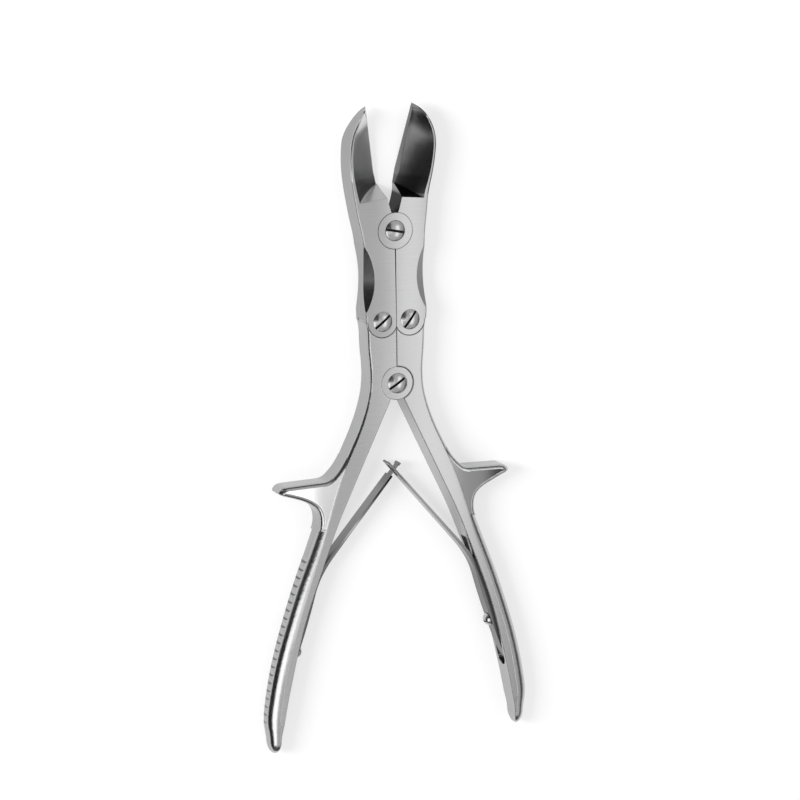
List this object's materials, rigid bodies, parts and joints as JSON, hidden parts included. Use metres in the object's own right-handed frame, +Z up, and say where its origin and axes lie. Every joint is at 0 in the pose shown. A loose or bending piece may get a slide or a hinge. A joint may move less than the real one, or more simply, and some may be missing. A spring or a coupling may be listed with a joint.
{
  "type": "bone cutting forceps",
  "caption": "Double-action surgical bone cutter lying flat: two hollow-ground blades on a four-pivot linkage, grooved handles with finger rests and crossed leaf springs.",
  "frame": {"origin": "on the flat back, under the centre of the handle pivot", "axes": "+Y towards the blade tips, +Z up out of the front face, +X to the right as seen from the front with the tips up"},
  "size_m": [0.1161, 0.2647, 0.0114],
  "materials": {
    "satin_steel": "satin ground flats with polished convex sides",
    "polished_steel": "bright polished",
    "spring_steel": "fine satin, slightly darker than the handles"
  },
  "bodies": {
    "left_handle": {"left_handle": "satin_steel", "left_spring_screw": "polished_steel"},
    "right_handle": {"right_handle": "satin_steel", "handle_pivot_screw": "polished_steel", "right_spring_screw": "polished_steel"},
    "left_jaw": {"left_jaw": "satin_steel", "left_link_screw": "polished_steel", "jaw_pivot_screw": "polished_steel"},
    "right_jaw": {"right_jaw": "satin_steel", "right_link_screw": "polished_steel"},
    "left_spring": {"left_spring": "spring_steel"},
    "right_spring": {"right_spring": "spring_steel"}
  },
  "joints": [
    {"name": "handle_pivot", "type": "hinge", "parent": "left_handle", "child": "right_handle", "pos_m": [0, 0, 0], "axis": [0, 0, -1], "range_deg": [0, 32], "stiffness_Nm_per_rad": 2.5, "springref_deg": -5.73},
    {"name": "left_link", "type": "hinge", "parent": "left_handle", "child": "left_jaw", "pos_m": [-0.006, 0.026, 0], "axis": [0, 0, -1], "range_deg": [0, 27]},
    {"name": "right_link", "type": "hinge", "parent": "right_handle", "child": "right_jaw", "pos_m": [0.006, 0.026, 0], "axis": [0, 0, 1], "range_deg": [0, 27]},
    {"name": "left_leaf_bend", "type": "hinge", "parent": "left_handle", "child": "left_spring", "pos_m": [-0.0324, -0.0774, 0.0055], "axis": [0, 0, 1], "range_deg": [0, 13], "deforming": ["left_spring"]},
    {"name": "right_leaf_bend", "type": "hinge", "parent": "right_handle", "child": "right_spring", "pos_m": [0.0324, -0.0774, 0.0055], "axis": [0, 0, -1], "range_deg": [0, 13], "deforming": ["right_spring"]}
  ],
  "couplings": [
    {"joint": "left_link", "follows": "handle_pivot", "ratio": 0.84296},
    {"joint": "right_link", "follows": "handle_pivot", "ratio": 0.84296},
    {"joint": "left_leaf_bend", "follows": "handle_pivot", "ratio": 0.369},
    {"joint": "right_leaf_bend", "follows": "handle_pivot", "ratio": 0.369}
  ]
}
